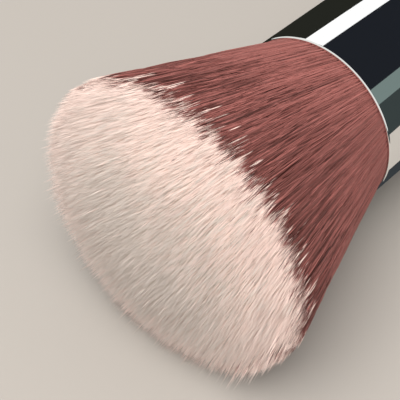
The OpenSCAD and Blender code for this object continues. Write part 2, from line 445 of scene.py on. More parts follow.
def bundle_group(lie: Lie) -> bpy.types.NodeTree:
    """Builds the look of many filaments side by side, wherever a surface cuts through the bundle.

    Places are turned into the bundle's own directions and drawn together to undo its flare. Noise that is
    stretched along the filaments then gives each its lightness, its relief and its place of the border.
    Away from the mouth the brown turns into painted shade: near-black streaks for the gaps between the
    filaments.

    Args:
        lie: How the brush lies.

    Returns:
        The group: in go the colours and the bundle's numbers, out come a colour and a relief.
    """
    streak_low, streak_high = 0.32, 0.68
    rim_fade = 0.7
    group = bpy.data.node_groups.new("filament_bundle", "ShaderNodeTree")
    face = group.interface
    for name in ("Rim Dye", "Root Dye", "Gap Shade", "Band Cream And Light", "Tip Cream And Shade"):
        face.new_socket(name=name, in_out="INPUT", socket_type="NodeSocketColor")
    for name in ("Mouth", "Way", "Root Radius", "Flare", "Streak Width", "Streak Length", "Border",
                 "Border Stray", "Border Width", "Band Width"):
        face.new_socket(name=name, in_out="INPUT", socket_type="NodeSocketFloat")
    face.new_socket(name="Color", in_out="OUTPUT", socket_type="NodeSocketColor")
    face.new_socket(name="Relief", in_out="OUTPUT", socket_type="NodeSocketFloat")
    wire = Nodes(group)
    given = wire.add("NodeGroupInput").outputs
    place = wire.add("ShaderNodeTexCoord").outputs["Object"]
    place = wire.add("ShaderNodeVectorMath", {0: place, 1: tuple(lie.mouth)}, operation="SUBTRACT").outputs[0]
    down, across, along = (
        wire.add("ShaderNodeVectorMath", {0: place, 1: tuple(way)}, operation="DOT_PRODUCT").outputs["Value"]
        for way in (lie.down, lie.across, lie.along))
    run = wire.math("MULTIPLY", wire.math("SUBTRACT", along, given["Mouth"]), given["Way"])
    ahead = wire.math("MAXIMUM", run, 0.0)
    girth = wire.math("MULTIPLY_ADD", ahead, given["Flare"], given["Root Radius"])
    fine = wire.math("DIVIDE", given["Root Radius"], wire.math("MULTIPLY", girth, given["Streak Width"]))
    grain = wire.add("ShaderNodeCombineXYZ", {
        0: wire.math("MULTIPLY", down, fine), 1: wire.math("MULTIPLY", across, fine),
        2: wire.math("DIVIDE", run, given["Streak Length"])}).outputs[0]
    streak = wire.add("ShaderNodeTexNoise", {"Vector": grain, "Scale": 1.0, "Detail": 2.0,
                                             "Roughness": 0.6}).outputs["Fac"]
    streak = wire.add("ShaderNodeMapRange", {
        0: streak, 1: streak_low, 2: streak_high, 3: 0.0, 4: 1.0}).outputs[0]
    stray = wire.math("MULTIPLY", wire.math("SUBTRACT", streak, 0.5), given["Border Stray"])
    past = wire.math("SUBTRACT", run, wire.math("ADD", given["Border"], stray))
    cream = wire.math("ADD", wire.math("DIVIDE", past, given["Border Width"]), 0.5, clamp=True)
    paler = wire.math("DIVIDE", past, given["Band Width"], clamp=True)
    grown = wire.math("DIVIDE", run, given["Border"], clamp=True)
    # Painted shade: the mass is streaked in near-black browns for the shade in the gaps between filaments,
    # and keeps the plain brown only near the mouth.
    root = wire.mix(streak, given["Gap Shade"], given["Root Dye"])
    root = wire.mix(wire.math("POWER", grown, rim_fade), given["Rim Dye"], root)
    dyed = wire.mix(cream, root, wire.mix(paler, given["Band Cream And Light"], given["Tip Cream And Shade"]))
    wire.add("NodeGroupOutput", {"Color": dyed, "Relief": streak})
    return group


@dataclass(frozen=True)
class Filament:
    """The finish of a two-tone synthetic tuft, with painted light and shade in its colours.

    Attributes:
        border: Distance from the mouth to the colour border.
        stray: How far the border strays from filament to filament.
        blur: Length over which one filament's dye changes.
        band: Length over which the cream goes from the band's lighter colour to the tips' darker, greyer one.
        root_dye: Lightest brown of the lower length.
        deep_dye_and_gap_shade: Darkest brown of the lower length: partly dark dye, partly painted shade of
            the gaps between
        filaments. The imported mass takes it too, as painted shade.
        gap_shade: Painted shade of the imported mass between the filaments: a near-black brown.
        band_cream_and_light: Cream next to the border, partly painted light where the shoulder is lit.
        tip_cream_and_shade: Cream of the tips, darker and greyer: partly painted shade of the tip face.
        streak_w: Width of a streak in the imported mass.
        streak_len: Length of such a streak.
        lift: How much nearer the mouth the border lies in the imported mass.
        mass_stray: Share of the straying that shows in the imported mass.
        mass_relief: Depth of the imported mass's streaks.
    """

    border: float
    stray: float = 8.0 * MM
    blur: float = 0.7 * MM
    band: float = 4.5 * MM
    root_dye: tuple = rgba(170, 106, 99)
    # Near-black brown: partly dark dye, partly painted shade of the gaps between filaments.
    deep_dye_and_gap_shade: tuple = rgba(66, 30, 25)
    # Painted shade of the imported mass between the filaments.
    gap_shade: tuple = rgba(60, 28, 24)
    # Partly painted light and shade: the band's cream is lighter where the shoulder is lit, the tips' cream
    # darker on the face.
    band_cream_and_light: tuple = rgba(255, 227, 215)
    tip_cream_and_shade: tuple = rgba(229, 215, 204)
    streak_w: float = 0.09 * MM
    streak_len: float = 1.6 * MM
    lift: float = 1.2 * MM
    mass_stray: float = 0.12
    mass_relief: float = 0.12 * MM

    def strands(self, name: str, group: bpy.types.NodeTree, bundle: "Tuft") -> bpy.types.Material:
        """Wires the material of filaments that are modelled one by one.

        Args:
            name: Name of the material.
            group: The shared look of one dyed filament.
            bundle: The tuft that it dresses.

        Returns:
            The material.
        """
        material, wire = new_material(name)
        # The filaments' colours carry painted light and shade: the lit band's cream, the shaded tips' cream
        # and the near-black browns of the gaps.
        look = wire.add("ShaderNodeGroup", {
            "Root Dye": self.root_dye, "Deep Dye And Gap Shade": self.deep_dye_and_gap_shade, "Band Cream And Light": self.band_cream_and_light,
            "Tip Cream And Shade": self.tip_cream_and_shade, "Border": (bundle.root_len + self.border) / bundle.span,
            "Border Stray": self.stray / bundle.span, "Border Width": self.blur / bundle.span,
            "Band Width": self.band / bundle.span}, node_tree=group)
        wire.finish({"Base Color": look.outputs["Color"], "Roughness": 0.5, "Specular IOR Level": 0.3})
        return material

    def mass(self, name: str, group: bpy.types.NodeTree, bundle: "Tuft") -> bpy.types.Material:
        """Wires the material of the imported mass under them.

        Args:
            name: Name of the material.
            group: The shared look of many filaments side by side.
            bundle: The tuft that it dresses.

        Returns:
            The material.
        """
        material, wire = new_material(name)
        # The mass's colours: the plain brown at the mouth, painted shade in near-black browns further on, and
        # the creams with their painted light and shade.
        look = wire.add("ShaderNodeGroup", {
            "Rim Dye": self.root_dye, "Root Dye": self.deep_dye_and_gap_shade, "Gap Shade": self.gap_shade,
            "Band Cream And Light": self.band_cream_and_light, "Tip Cream And Shade": self.tip_cream_and_shade, "Mouth": bundle.mouth,
            "Way": float(bundle.way), "Root Radius": bundle.root_r, "Flare": bundle.flare,
            "Streak Width": self.streak_w, "Streak Length": self.streak_len,
            "Border": self.border - self.lift, "Border Stray": self.mass_stray * self.stray,
            "Border Width": self.blur, "Band Width": self.band}, node_tree=group)
        relief = wire.add("ShaderNodeBump", {"Height": look.outputs["Relief"], "Distance": self.mass_relief,
                                             "Strength": 1.0}).outputs[0]
        wire.finish({"Base Color": look.outputs["Color"], "Roughness": 0.6, "Specular IOR Level": 0.25,
                     "Normal": relief})
        return material


@dataclass(frozen=True)
class Mirror:
    """Polished bright metal with the faintest handling haze.

    Attributes:
        tint: Colour of what it mirrors white.
        polish: Roughness where it is cleanest.
        haze: Roughness that the haze adds at most.
        haze_scale: How fine the haze is.
    """

    tint: tuple = (0.93, 0.93, 0.925, 1.0)
    polish: float = 0.02
    haze: float = 0.02
    haze_scale: float = 120.0

    def material(self, name: str) -> bpy.types.Material:
        """Wires the metal's material.

        Args:
            name: Name of the material.

        Returns:
            The material.
        """
        material, wire = new_material(name)
        rough = wire.math("MULTIPLY_ADD", wire.cloud(self.haze_scale, 4.0), self.haze, self.polish)
        wire.finish({"Base Color": self.tint, "Metallic": 1.0, "Roughness": rough})
        return material


@dataclass(frozen=True)
class Lacquer:
    """Black lacquer over turned wood: a dark ground under a clear gloss coat.

    Attributes:
        ground: Colour of the ground.
        gloss: Roughness of the ground where it is smoothest.
        wear: Roughness that handling adds at most.
        wear_scale: How fine the wear is.
        coat_gloss: Roughness of the clear coat.
    """

    ground: tuple = (0.012, 0.012, 0.014, 1.0)
    gloss: float = 0.18
    wear: float = 0.12
    wear_scale: float = 60.0
    coat_gloss: float = 0.04

    def material(self, name: str) -> bpy.types.Material:
        """Wires the lacquer's material.

        Args:
            name: Name of the material.

        Returns:
            The material.
        """
        material, wire = new_material(name)
        rough = wire.math("MULTIPLY_ADD", wire.cloud(self.wear_scale, 5.0), self.wear, self.gloss)
        wire.finish({"Base Color": self.ground, "Roughness": rough, "Specular IOR Level": 0.1,
                     "Coat Weight": 1.0, "Coat Roughness": self.coat_gloss})
        return material


@dataclass(frozen=True)
class Resin:
    """Cast resin, cloudy amber.

    Attributes:
        clear: Its colour where it is clearest.
        cloudy: Its colour where it is cloudiest.
        cloud_scale: How fine the clouds are.
        gloss: Its roughness.
    """

    clear: tuple = rgba(214, 188, 128)
    cloudy: tuple = rgba(190, 158, 98)
    cloud_scale: float = 300.0
    gloss: float = 0.35

    def material(self, name: str) -> bpy.types.Material:
        """Wires the resin's material.

        Args:
            name: Name of the material.

        Returns:
            The material.
        """
        material, wire = new_material(name)
        colour = wire.mix(wire.cloud(self.cloud_scale, 3.0), self.clear, self.cloudy)
        wire.finish({"Base Color": colour, "Roughness": self.gloss})
        return material


@dataclass(frozen=True)
class Ferrule:
    """A drawn metal tube with a rounded lip, a taper and a collar crimped in two rolled rings.

    Attributes:
        node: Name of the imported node.
        mouth: Place of its mouth along the axis.
        way: 1 where it opens towards the large tip, -1 towards the small one.
        barrel_r: Radius of the straight barrel.
        collar_r: Radius of the collar.
        barrel_len: Length of the barrel.
        taper_len: Length of the taper.
        collar_len: Length of the collar.
        wall: Thickness of the metal.
        crimp_depth: Depth of a crimp.
        crimp_w: Width of a crimp.
        crimp_pitch: Distance between the two crimps.
        sides: Number of faces round the axis.
        lip_steps: Points along the lip's half circle, with its ends.
        taper_steps: Points along the taper.
        collar_steps: Points along the collar.
    """

    node: str
    mouth: float
    way: int
    barrel_r: float
    collar_r: float
    barrel_len: float
    taper_len: float
    collar_len: float
    wall: float = 0.45 * MM
    crimp_depth: float = 0.4 * MM
    crimp_w: float = 1.6 * MM
    crimp_pitch: float = 2.8 * MM
    sides: int = 144
    lip_steps: int = 15
    taper_steps: int = 16
    collar_steps: int = 28

    def radius(self, back: np.ndarray) -> np.ndarray:
        """Outer radius behind the mouth: straight, then half a cosine wave, then a collar with two dips.

        Args:
            back: Distances behind the mouth.

        Returns:
            Radii.
        """
        share = np.clip((back - self.barrel_len) / self.taper_len, 0, 1)
        radius = self.collar_r + (self.barrel_r - self.collar_r) * (1 + np.cos(math.pi * share)) / 2
        middle = self.barrel_len + self.taper_len + self.collar_len / 2
        for crimp in (middle - self.crimp_pitch / 2, middle + self.crimp_pitch / 2):
            off = np.clip((back - crimp) / self.crimp_w, -0.5, 0.5)
            radius = radius - self.crimp_depth * (1 + np.cos(2 * math.pi * off)) / 2
        return radius

    def outline(self) -> np.ndarray:
        """Works out the tube's wall: a half circle of lip, the outside, and the inside back.

        Returns:
            A ring of points, each a radius and a place along the axis.
        """
        length = self.barrel_len + self.taper_len + self.collar_len
        taper_end = self.barrel_len + self.taper_len
        back = np.concatenate([[self.wall / 2], np.linspace(self.barrel_len, taper_end, self.taper_steps),
                               np.linspace(taper_end, length, self.collar_steps)[1:]])
        turn = np.linspace(0, math.pi, self.lip_steps)[1:-1]
        lip_r = self.barrel_r - self.wall / 2 * (1 + np.cos(turn))
        lip_back = self.wall / 2 * (1 - np.sin(turn))
        radius = np.concatenate([lip_r, self.radius(back), self.radius(back[::-1]) - self.wall])
        behind = np.concatenate([lip_back, back, back[::-1]])
        ring = np.stack([radius, self.mouth - self.way * behind], 1)
        return ring[::-1] if self.way > 0 else ring

    def build(self, lie: Lie, metal: bpy.types.Material) -> bpy.types.Object:
        """Turns the tube, dresses it and seats it on its node.

        Args:
            lie: How the brush lies.
            metal: The metal's material.

        Returns:
            The piece.
        """
        piece = turned(self.node + "_tube", lie, self.outline(), self.sides)
        return seat(piece, self.node, metal)


def seat(piece: bpy.types.Object, node: str, material: bpy.types.Material) -> bpy.types.Object:
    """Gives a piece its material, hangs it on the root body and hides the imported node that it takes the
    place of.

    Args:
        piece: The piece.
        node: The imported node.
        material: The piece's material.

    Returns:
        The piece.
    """
    piece.data.materials.append(material)
    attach(piece, "root")
    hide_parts(node)
    return piece


@dataclass(frozen=True)
class Handle:
    """The lacquered grip between the two ferrules, with the tenons that fill their collars.

    Attributes:
        large: The ferrule at its thick end.
        small: The ferrule at its thin end.
        large_r: Radius beside the large ferrule.
        small_r: Radius beside the small ferrule.
        swell: Swell of its middle beyond a straight taper.
        edge_r: Rounding of its two edges.
        fit: Clearance of a tenon in its collar.
        sides: Number of faces round the axis.
        tenon_steps: Points along a tenon.
        grip_steps: Points along the grip.
        edge_steps: Points along a rounded edge, with its ends.
    """

    large: Ferrule
    small: Ferrule
    large_r: float = 7.75 * MM
    small_r: float = 5.5 * MM
    swell: float = 0.5 * MM
    edge_r: float = 0.8 * MM
    fit: float = 0.05 * MM
    sides: int = 112
    tenon_steps: int = 30
    grip_steps: int = 36
    edge_steps: int = 9

    def tenon(self, ferrule: Ferrule) -> np.ndarray:
        """Works out a tenon's outline: the collar's inside less the fit.

        Args:
            ferrule: The ferrule that it fills.

        Returns:
            Points from its flat end to the grip's shoulder, each a radius and a place along the axis.
        """
        start = ferrule.barrel_len + ferrule.taper_len
        back = np.linspace(start, start + ferrule.collar_len, self.tenon_steps)
        radius = ferrule.radius(back) - ferrule.wall - self.fit
        return np.stack([radius, ferrule.mouth - ferrule.way * back], 1)

    def grip(self) -> np.ndarray:
        """Works out the grip's outline: a quarter circle, a taper with a sine swell, and a quarter circle.

        Returns:
            Points from the large ferrule to the small one, each a radius and a place along the axis.
        """
        top = self.tenon(self.large)[-1, 1]
        end = self.tenon(self.small)[-1, 1]
        place = np.linspace(top - self.edge_r, end + self.edge_r, self.grip_steps)
        share = (top - place) / (top - end)
        side = self.large_r + (self.small_r - self.large_r) * share + self.swell * np.sin(math.pi * share)
        turn = np.linspace(0, math.pi / 2, self.edge_steps)[:-1]
        inward, onward = self.edge_r * (1 - np.sin(turn)), self.edge_r * (1 - np.cos(turn))
        first = np.stack([side[0] - inward, top - onward], 1)
        last = np.stack([side[-1] - inward, end + onward], 1)
        return np.concatenate([first, np.stack([side, place], 1), last[::-1]])

    def build(self, lie: Lie, lacquer: bpy.types.Material) -> bpy.types.Object:
        """Turns the handle, dresses it and seats it on its node.

        Args:
            lie: How the brush lies.
            lacquer: The lacquer's material.

        Returns:
            The piece.
        """
        large, small = self.tenon(self.large), self.tenon(self.small)
        ring = np.concatenate([[[NEAR_AXIS, large[0, 1]]], large, self.grip(), small[::-1],
                               [[NEAR_AXIS, small[0, 1]]]])
        piece = turned("handle_grip", lie, ring, self.sides)
        return seat(piece, "handle", lacquer)


@dataclass(frozen=True)
class Clumps:
    """Irregular small groups that filaments bunch up in.

    Attributes:
        cell: Mean distance from one group to the next.
        seed: Seeds the groups' places and traits.
        wander: Share of a cell by which its group stands off the middle at most.
    """

    cell: float
    seed: int
    wander: float = 0.45

    def find(self, x: np.ndarray, y: np.ndarray) -> tuple[np.ndarray, np.ndarray, np.ndarray]:
        """Finds the nearest group, among one group set at random in each cell of a square grid.

        Args:
            x: First coordinate.
            y: Second coordinate.

        Returns:
            The ways to the group's middle in x and y, and four random traits of the group from -1 to 1.
        """
        spots = np.random.default_rng(self.seed).uniform(-1.0, 1.0, (NOISE_KNOTS, NOISE_KNOTS, 6))
        ix, iy = np.floor(x / self.cell).astype(int), np.floor(y / self.cell).astype(int)
        steps = np.array([(a, b) for a in (-1, 0, 1) for b in (-1, 0, 1)])
        jx, jy = ix[..., None] + steps[:, 0], iy[..., None] + steps[:, 1]
        here = spots[jx % NOISE_KNOTS, jy % NOISE_KNOTS]
        to_x = (jx + 0.5 + self.wander * here[..., 0]) * self.cell - x[..., None]
        to_y = (jy + 0.5 + self.wander * here[..., 1]) * self.cell - y[..., None]
        nearest = np.argmin(to_x ** 2 + to_y ** 2, -1)[..., None]
        pick = np.take_along_axis
        return (pick(to_x, nearest, -1)[..., 0], pick(to_y, nearest, -1)[..., 0],
                pick(here, nearest[..., None], -2)[..., 0, 2:])


@dataclass(frozen=True)
class Tuft:
    """One head of filament, from its root in the ferrule to its domed tip face.

    Attributes:
        node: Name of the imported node.
        mouth: Place of the ferrule's mouth along the axis.
        way: 1 where it points to the large tip's side, -1 where it points the other way.
        root_r: Radius of the bundle in the ferrule.
        shoulder_r: Radius at the shoulder.
        side_len: Length of the side, from the mouth to the shoulder.
        dome_rise: Rise of the tip face above the shoulder.
        root_len: Length of the root in the ferrule.
        cream: Length of cream below the shoulder.
        whole_count: Number of filaments that show from the ferrule to their tip.
        stretch_count: Number of filaments that come up to the side for a stretch.
        tip_count: Number of filaments of which only the ends show, on the shoulder and the tip face.
        face_share: Share of the radius that the even middle of the tip face takes up.
        face_depth: How unevenly the filaments end in that middle.
        rim_depth: How unevenly they end at the shoulder.
        scatter: How unevenly the filaments end.
        rim_from: Share of the radius from which more filaments are set.
        rim_share: Share of the filaments that are set there.
        inner_cream: How much longer the cream of the inner filaments is.
        soft: Share that the tuft's surface has in the shading of its tips.
        soak: How far the shading of the tips at the shoulder turns up, as light from above soaks through.
        over: How far a filament lies above the side where its cream reaches furthest down.
        stray_share: Share of the tips that stand out from the rest.
        part_size: Most filaments that one piece holds.
        seed: Seeds every random choice.
        thick: Radius of a filament.
        whole_stations: Places along a whole filament.
        stretch_stations: Places along a stretch.
        under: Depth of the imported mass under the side.
        under_tips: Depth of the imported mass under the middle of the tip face.
        under_rim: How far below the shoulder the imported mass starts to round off.
        under_len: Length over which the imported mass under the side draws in.
        past: Length by which the stretches reach past the shoulder.
        inside: Length that the whole filaments reach into the ferrule.
        swell: How far the side swells out of the ferrule's mouth.
        swell_len: Length over which it does.
        slant: Sideways way of the filaments for each length along the brush.
        dye_dip: How much further the brown reaches at one side.
        dye_dip_at: Turn at which it does.
        fray_at: Turn at which more filaments stand out past the shoulder, and further.
        spare: Length of map over the highest tips.
        lock_w: Width of a lock of filament.
        strand_w: Width of a strand in a lock.
        streak_w: Width of a streak of filaments that are dyed alike.
        patch_w: Width of a patch of stretches that are dyed nearly alike.
        tip_group_w: Width of a group of tips.
        broad_w: Width of the side's broad ridges.
        broad_rise: Their height.
        fine_w: Width of the side's fine ridges.
        fine_rise: Their height.
        weave: Sideways weaving of the whole filaments.
        weave_lift: Their weaving over and under each other.
        sink: Depth of the whole filaments under the side at the shoulder.
        drift_w: Width of the patches in which the stretches slant alike.
        bend: Sideways bending of a stretch.
        stretch_sink: Mean depth of a stretch under the side.
        stretch_lift: How far the stretches lie over and under that.
        root_dip: Depth at which a stretch starts.
        far_dip: Depth at which it ends, short of the shoulder.
        lump_w: Width of the tip face's soft lumps.
        lump_rise: Their height.
        tip_len: Shown length of a tip on the face.
        side_tip_len: Length that a tip at the shoulder may have besides.
        side_tip_rise: How much further the tips at the shoulder reach.
        tip_reach: How far the longest tips reach over the face.
        tip_uneven: How unevenly the groups of tips reach.
        tip_lean: How far a tip leans sideways.
        group_lean: How far its whole group does.
        tip_sink: Depth at which a tip starts, under the rest.
        ledge: How far a tip may stand out past the side.
        stray_least: Least length by which a stray tip stands out.
        stray_most: Most length by which it does, where nothing is frayed.
        outer_cream: How far below the border the map of the outermost tips may start.
        least_cream: How much further up it starts for the inner ones, besides their longer cream.
    """

    node: str
    mouth: float
    way: int
    root_r: float
    shoulder_r: float
    side_len: float
    dome_rise: float
    root_len: float
    cream: float
    whole_count: int
    stretch_count: int
    tip_count: int
    face_share: float
    face_depth: float
    rim_depth: float
    scatter: float
    seed: int
    rim_from: float = 0.75
    rim_share: float = 0.3
    inner_cream: float = 3.6 * MM
    soft: float = 1.3
    soak: float = 0.45
    over: float = 0.08 * MM
    stray_share: float = 0.02
    part_size: int = 10000
    thick: float = 0.05 * MM
    whole_stations: int = 8
    stretch_stations: int = 4
    under: float = 0.2 * MM
    under_tips: float = 1.4 * MM
    under_rim: float = 3.2 * MM
    under_len: float = 6 * MM
    past: float = 0.8 * MM
    inside: float = 0.6 * MM
    swell: float = 0.2 * MM
    swell_len: float = 1.5 * MM
    slant: float = 0.06
    dye_dip: float = 0.95 * MM
    dye_dip_at: float = math.radians(145)
    fray_at: float = math.radians(62)
    spare: float = 1.5 * MM
    lock_w: float = 1.9 * MM
    strand_w: float = 0.5 * MM
    streak_w: float = 0.22 * MM
    patch_w: float = 0.9 * MM
    tip_group_w: float = 0.7 * MM
    broad_w: float = 1.7 * MM
    broad_rise: float = 0.16 * MM
    fine_w: float = 0.42 * MM
    fine_rise: float = 0.25 * MM
    weave: float = 0.10 * MM
    weave_lift: float = 0.06 * MM
    sink: float = 0.05 * MM
    drift_w: float = 2.5 * MM
    bend: float = 0.015 * MM
    stretch_sink: float = 0.03 * MM
    stretch_lift: float = 0.06 * MM
    root_dip: float = 0.28 * MM
    far_dip: float = 0.08 * MM
    lump_w: float = 3.4 * MM
    lump_rise: float = 0.2 * MM
    tip_len: float = 2.6 * MM
    side_tip_len: float = 6 * MM
    side_tip_rise: float = 0.6 * MM
    tip_reach: float = 0.4 * MM
    tip_uneven: float = 0.2 * MM
    tip_lean: float = 0.08 * MM
    group_lean: float = 0.05 * MM
    tip_sink: float = 0.3 * MM
    ledge: float = 0.1 * MM
    stray_least: float = 0.3 * MM
    stray_most: float = 1.3 * MM
    outer_cream: float = 8 * MM
    least_cream: float = 6 * MM

    @property
    def span(self) -> float:
        """Length that the map's whole height stands for: from the root's end to just over the tips."""
        return self.root_len + self.side_len + self.dome_rise + self.spare

    @property
    def flare(self) -> float:
        """Growth of the side's radius with distance from the mouth."""
        return (self.shoulder_r - self.root_r) / self.side_len

    def height(self, s: np.ndarray, turn: np.ndarray) -> np.ndarray:
        """Height on the map of a distance in front of the mouth, with the uneven dip of the dye."""
        dip = self.dye_dip * sleek(np.cos(turn - self.dye_dip_at))
        return (s - dip + self.root_len) / self.span

    def side_r(self, s: np.ndarray) -> np.ndarray:
        """Radius of the side: it swells out of the ferrule's mouth, then runs straight to the shoulder."""
        return self.root_r + self.flare * np.clip(s, 0, None) + self.swell * sleek(s / self.swell_len)

    def twist(self, s: np.ndarray) -> np.ndarray:
        """Turn about the axis by which the filaments lean sideways between the mouth and the shoulder."""
        return self.slant * np.minimum(s - self.side_len, 0) / self.side_r(s)

    def dome(self, share: np.ndarray) -> np.ndarray:
        """Height of the tip face at a share of the shoulder's radius: a quarter of an ellipse."""
        return self.side_len + self.dome_rise * np.sqrt(np.clip(1 - share ** 2, 0, 1))

    def relief(self, arc: np.ndarray, s: np.ndarray) -> np.ndarray:
        """Rise and fall of the side: smooth noise in ridges along the brush, growing towards the tips.

        Args:
            arc: Place round the tuft, as a length at the shoulder.
            s: Distance in front of the mouth.

        Returns:
            Lengths to add to the radius.
        """
        open_ = np.clip(s / self.side_len, 0, 1.1)
        broad = value_noise(arc, s * 0.25, self.broad_w, self.seed + Draw.BROAD) * self.broad_rise
        fine = value_noise(arc, s * 0.06, self.fine_w, self.seed + Draw.FINE) * self.fine_rise
        return (broad + fine) * open_ ** 1.6

    def streak(self, arc: np.ndarray, s: np.ndarray) -> np.ndarray:
        """Trait from -1 to 1 of the long thin streak that a place on the side belongs to."""
        return Clumps(self.streak_w, self.seed + Draw.STREAK).find(arc, s * 0.04)[2][:, 3]

    def lay(self, lie: Lie, radius: np.ndarray, turn: np.ndarray, s: np.ndarray) -> np.ndarray:
        """Places points given as radius, turn and distance from the mouth, pressed flat at the floor.

        Args:
            lie: How the brush lies.
            radius: Distance from the axis.
            turn: Turn about the axis.
            s: Distance in front of the mouth.

        Returns:
            Places, with a last axis of three.
        """
        along = self.mouth + self.way * s
        down = np.minimum(radius * np.cos(turn), lie.floor_gap(along) - 1.2 * self.thick)
        return lie.place(down, radius * np.sin(turn), along)

    def columns(self, rng: np.random.Generator, broad: np.ndarray, fine: np.ndarray) -> np.ndarray:
        """Picks each filament's column on the map, so that most of a group share one.

        Args:
            rng: Random numbers.
            broad: Trait of the patch that the filament belongs to.
            fine: Trait of its streak.

        Returns:
            Column numbers.
        """
        own = rng.uniform(-0.3, 0.3, len(fine)) * (rng.uniform(0, 1, len(fine)) < 0.2)
        mean = 0.5 + 0.14 * broad + 0.34 * fine + own
        return np.floor(STRAND_COLUMNS * np.clip(mean, 0, 0.999)).astype(int)

    def whole_paths(self, lie: Lie, rng: np.random.Generator) -> tuple[np.ndarray, ...]:
        """Works out the filaments that show from the ferrule to their tip.

        A filament runs at a constant share of the bundle's radius. With its distance from the mouth it is
        drawn ever more towards the middle of its strand, follows the side's relief, leans a little, and
        weaves over and under its neighbours.

        Args:
            lie: How the brush lies.
            rng: Random numbers.

        Returns:
            Paths, radii, columns, heights on the map, and nap.
        """
        n, k = self.whole_count, self.whole_stations
        turn = rng.uniform(0, 2 * math.pi, n)
        arc = turn * self.shoulder_r
        depth = 0.025 * rng.uniform(0, 1, n) ** 1.5
        lock = Clumps(self.lock_w, self.seed + Draw.LOCK).find(arc, 0 * arc)[2]
        strand, _, strand_trait = Clumps(self.strand_w, self.seed + Draw.STRAND).find(arc, 0 * arc)
        slide = self.scatter * (0.8 * lock[:, 0] + 0.9 * strand_trait[:, 0] + rng.normal(0, 0.6, n))
        reach = self.dome(np.clip(1 - depth - 0.003, 0, 1)) + slide
        step = np.arange(k) / (k - 1.0)
        jitter = rng.uniform(-0.35, 0.35, (n, k)) / (k - 1)
        jitter[:, [0, 1, k - 1]] = 0.0
        s = (step + jitter) * (reach[:, None] + self.inside) - self.inside
        open_ = np.clip(s / self.side_len, 0, 1.2)
        calm = np.minimum(open_ * 1.5, 1) * np.clip(2.2 * (1 - step), 0.2, 1)
        weave_side = rng.normal(0, self.weave, (n, k)) * calm
        weave_lift = rng.normal(0, self.weave_lift, (n, k)) * calm
        lean = rng.normal(0, 0.02, n)[:, None] * open_
        sideways = 0.4 * strand[:, None] * open_ ** 3 + weave_side
        radius = self.side_r(s) * (1 - depth[:, None]) + weave_lift - self.sink * open_
        radius = radius + self.relief(arc[:, None] + 0 * s, s)
        bore = self.root_r * (1 - depth[:, None]) - self.thick
        free = 0.5 * MM
        radius = np.where(s < free, np.minimum(radius, bore), radius)
        paths = self.lay(lie, radius, turn[:, None] + lean + sideways / self.shoulder_r + self.twist(s), s)
        taper = np.clip((1.02 - step[:-1]) / 0.2, 0.45, 1)
        thin = self.thick * rng.uniform(0.8, 1.2, n)[:, None] * taper[None]
        column = self.columns(rng, lock[:, 3], strand_trait[:, 3])
        return paths, thin, column, self.height(s - slide[:, None], turn[:, None]), np.zeros((n, 3))

    def stretch_paths(self, lie: Lie, rng: np.random.Generator) -> tuple[np.ndarray, ...]:
        """Works out the filaments that come up to the side for a stretch.

        A stretch lies along the side at a small slant, comes up from under its neighbours and follows the
        side's relief. It dips a little at its other end, unless that is at the shoulder. It lies higher where
        its cream reaches further down, so that the cream isn't cut off by its neighbours.

        Args:
            lie: How the brush lies.
            rng: Random numbers.

        Returns:
            Paths, radii, columns, heights on the map, and nap.
        """
        n, k = self.stretch_count, self.stretch_stations
        length = rng.uniform(0.12, 0.4, n) * self.side_len
        end = length + rng.uniform(0, 1, n) ** 0.8 * (1.25 * self.side_len - length)
        end = np.minimum(end, self.side_len + self.past * rng.uniform(-1, 1, n))
        middle = end - length / 2
        turn = rng.uniform(0, 2 * math.pi, n)
        step = np.linspace(-0.5, 0.5, k)
        s = middle[:, None] + step * length[:, None]
        arc = turn[:, None] * self.shoulder_r + 0 * s
        drift = value_noise(arc[:, 0], middle * 0.5, self.drift_w, self.seed + Draw.DRIFT)
        slant = rng.normal(0, 0.03, n) + 0.04 * drift
        sideways = slant[:, None] * (s - middle[:, None]) + rng.normal(0, self.bend, (n, k))
        far_dip = np.where(end < self.side_len - self.past, self.far_dip, 0.0)[:, None]
        dip = np.where(step < 0, self.root_dip, far_dip) * (2 * np.abs(step)) ** 2.2
        rise = self.stretch_lift * rng.normal(0, 1, n)[:, None] * np.clip(s / self.side_len, 0.15, 1)
        streak = self.streak(arc[:, 0], middle)
        rise = rise + self.over * np.clip(-streak[:, None], 0, 1) * np.clip(s / self.side_len, 0, 1)
        radius = self.side_r(s) - dip - self.stretch_sink + rise + self.relief(arc + sideways, s)
        paths = self.lay(lie, radius, turn[:, None] + sideways / self.side_r(s) + self.twist(s), s)
        thin = self.thick * rng.uniform(0.75, 1.15, n)[:, None] + np.zeros(k - 1)
        patch = Clumps(self.patch_w, self.seed + Draw.PATCH).find(arc[:, 0], middle * 0.2)[2]
        slide = self.scatter * rng.normal(0, 1.0, n)
        run = self.height(s - slide[:, None], turn[:, None])
        return paths, thin, self.columns(rng, patch[:, 3], streak), run, np.zeros((n, 3))

